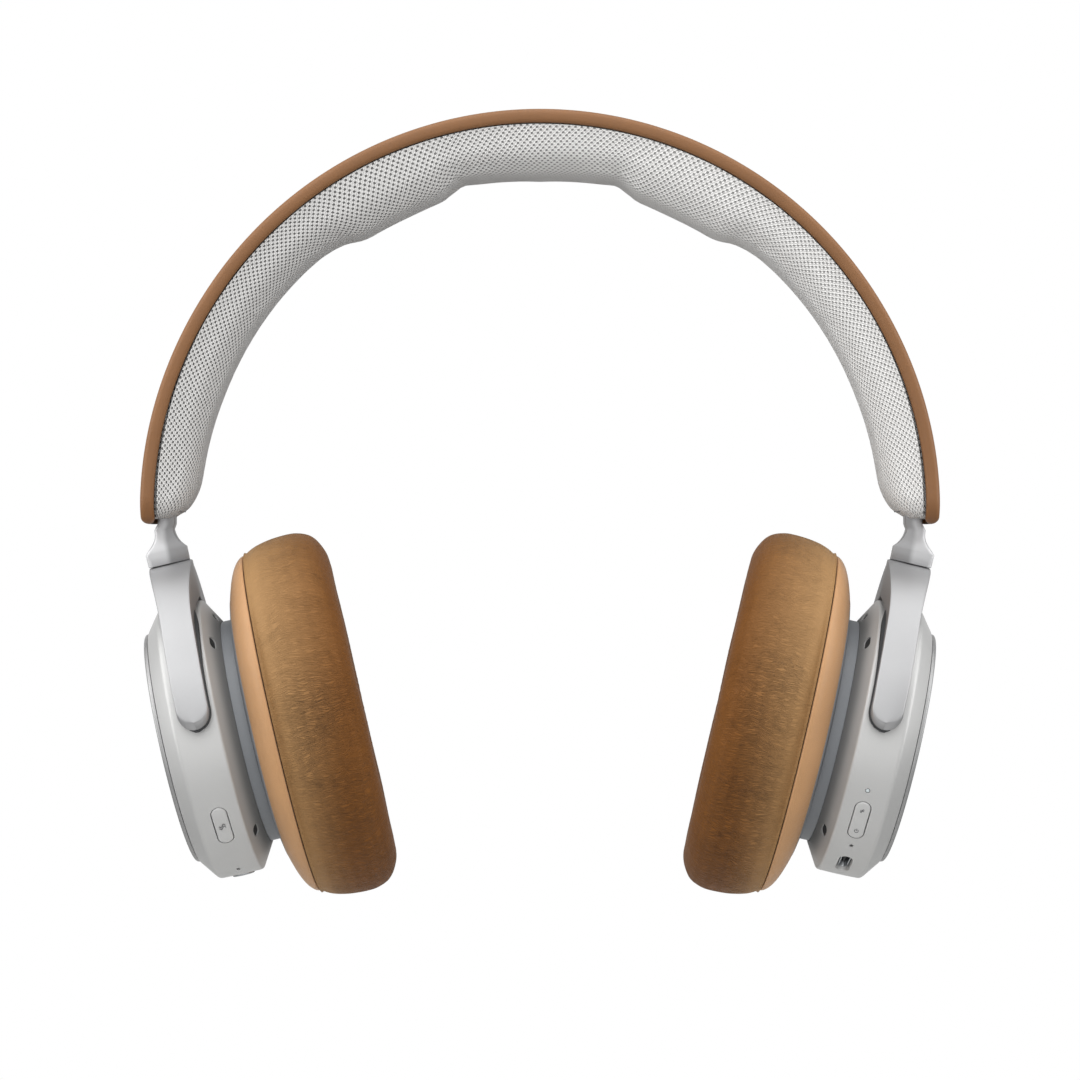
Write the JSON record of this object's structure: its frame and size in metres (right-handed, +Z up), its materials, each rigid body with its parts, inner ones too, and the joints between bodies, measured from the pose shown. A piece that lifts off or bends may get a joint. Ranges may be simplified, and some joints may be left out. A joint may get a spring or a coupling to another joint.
{
  "type": "over ear headphones",
  "caption": "Wireless over-ear headphones with a leather-covered headband, knitted head pad, sliding arms, swivelling yokes and tilting cups with leather ear cushions.",
  "frame": {"origin": "lowest point of the head pad in the middle of the headband, where a head or a stand hook carries the headphones", "axes": "+Z up, +X from the left ear cup to the right ear cup, +Y to the rear; the buttons face -Y"},
  "size_m": [0.1978, 0.0782, 0.1954],
  "materials": {
    "tan_leather": "smooth tan leather with a fine grain",
    "skirt_leather": "smooth tan leather drawn tight over a moulded ring",
    "lambskin": "soft tan lambskin with fine wrinkles",
    "knitted_mesh": "knitted spacer mesh, light grey",
    "satin_aluminium": "bead-blasted, anodised silver",
    "housing_silver": "satin, anodised light silver",
    "disc_silver": "fine satin face with a bright edge",
    "collar_blue_grey": "matt blue-grey plastic",
    "bright_steel": "plain steel",
    "dark_plastic": "dark moulded plastic",
    "circuit_board": "green solder mask",
    "battery_wrap": "wrapped lithium cell",
    "magnet": "plated magnet and yoke",
    "cone_paper": "thin driver membrane",
    "speaker_cloth": "fine black acoustic cloth",
    "brass_parts": "gold-plated contacts",
    "light_pipe": "clear light guide"
  },
  "bodies": {
    "headband": {"band_cover": "tan_leather", "spring_steel_band": "bright_steel", "band_cable": "dark_plastic", "pad_carrier": "dark_plastic", "head_pad": "knitted_mesh", "slider_guide_left": "dark_plastic", "slider_guide_right": "dark_plastic", "detent_spring_left": "bright_steel", "detent_spring_right": "bright_steel"},
    "arm_left": {"adjustment_arm_left": "satin_aluminium"},
    "yoke_left": {"yoke_left": "satin_aluminium", "swivel_pin_left": "bright_steel", "swivel_washer_left": "dark_plastic", "pivot_pin_front_left": "bright_steel", "pivot_pin_rear_left": "bright_steel"},
    "cup_left": {"housing_left": "housing_silver", "touch_disc_left": "disc_silver", "touch_board_left": "circuit_board", "main_board_left": "circuit_board", "driver_magnet_left": "magnet", "driver_basket_left": "dark_plastic", "driver_diaphragm_left": "cone_paper", "baffle_left": "collar_blue_grey", "baffle_screw_front_left": "bright_steel", "baffle_screw_rear_left": "bright_steel", "speaker_cloth_left": "speaker_cloth", "cushion_clip_ring_left": "dark_plastic", "cushion_carrier_left": "skirt_leather", "ear_cushion_left": "lambskin", "button_switch_left": "dark_plastic", "microphone_left": "brass_parts", "audio_jack_socket": "brass_parts"},
    "button_left": {"button_left": "housing_silver"},
    "arm_right": {"adjustment_arm_right": "satin_aluminium"},
    "yoke_right": {"yoke_right": "satin_aluminium", "swivel_pin_right": "bright_steel", "swivel_washer_right": "dark_plastic", "pivot_pin_front_right": "bright_steel", "pivot_pin_rear_right": "bright_steel"},
    "cup_right": {"housing_right": "housing_silver", "touch_disc_right": "disc_silver", "touch_board_right": "circuit_board", "main_board_right": "circuit_board", "driver_magnet_right": "magnet", "driver_basket_right": "dark_plastic", "driver_diaphragm_right": "cone_paper", "baffle_right": "collar_blue_grey", "baffle_screw_front_right": "bright_steel", "baffle_screw_rear_right": "bright_steel", "speaker_cloth_right": "speaker_cloth", "cushion_clip_ring_right": "dark_plastic", "cushion_carrier_right": "skirt_leather", "ear_cushion_right": "lambskin", "button_switch_right": "dark_plastic", "microphone_right": "brass_parts", "usb_c_socket": "bright_steel", "status_light_pipe": "light_pipe", "battery_cell": "battery_wrap"},
    "button_right": {"button_right": "housing_silver"}
  },
  "joints": [
    {"name": "arm_left_extend", "type": "hinge", "parent": "headband", "child": "arm_left", "pos_m": [0, 0, -0.08275], "axis": [0, -1, 0], "range_deg": [-1.8, 16.5]},
    {"name": "cup_left_swivel", "type": "hinge", "parent": "arm_left", "child": "yoke_left", "pos_m": [-0.09192, 0, -0.09621], "axis": [-0.225, 0, 0.9744], "range_deg": [-10, 90]},
    {"name": "cup_left_tilt", "type": "hinge", "parent": "yoke_left", "child": "cup_left", "pos_m": [-0.08385, 0, -0.13115], "axis": [0, 1, 0], "range_deg": [-10, 10]},
    {"name": "button_left_press", "type": "slide", "parent": "cup_left", "child": "button_left", "axis": [-0.1354, 0.7986, 0.5864], "range_m": [0, 0.0005], "stiffness_N_per_m": 800, "springref_m": -0.0005},
    {"name": "arm_right_extend", "type": "hinge", "parent": "headband", "child": "arm_right", "pos_m": [0, 0, -0.08275], "axis": [0, 1, 0], "range_deg": [-1.8, 16.5]},
    {"name": "cup_right_swivel", "type": "hinge", "parent": "arm_right", "child": "yoke_right", "pos_m": [0.09192, 0, -0.09621], "axis": [-0.225, 0, -0.9744], "range_deg": [-10, 90]},
    {"name": "cup_right_tilt", "type": "hinge", "parent": "yoke_right", "child": "cup_right", "pos_m": [0.08385, 0, -0.13115], "axis": [0, -1, 0], "range_deg": [-10, 10]},
    {"name": "button_right_press", "type": "slide", "parent": "cup_right", "child": "button_right", "axis": [0.1242, 0.8339, 0.5378], "range_m": [0, 0.0005], "stiffness_N_per_m": 800, "springref_m": -0.0005}
  ]
}
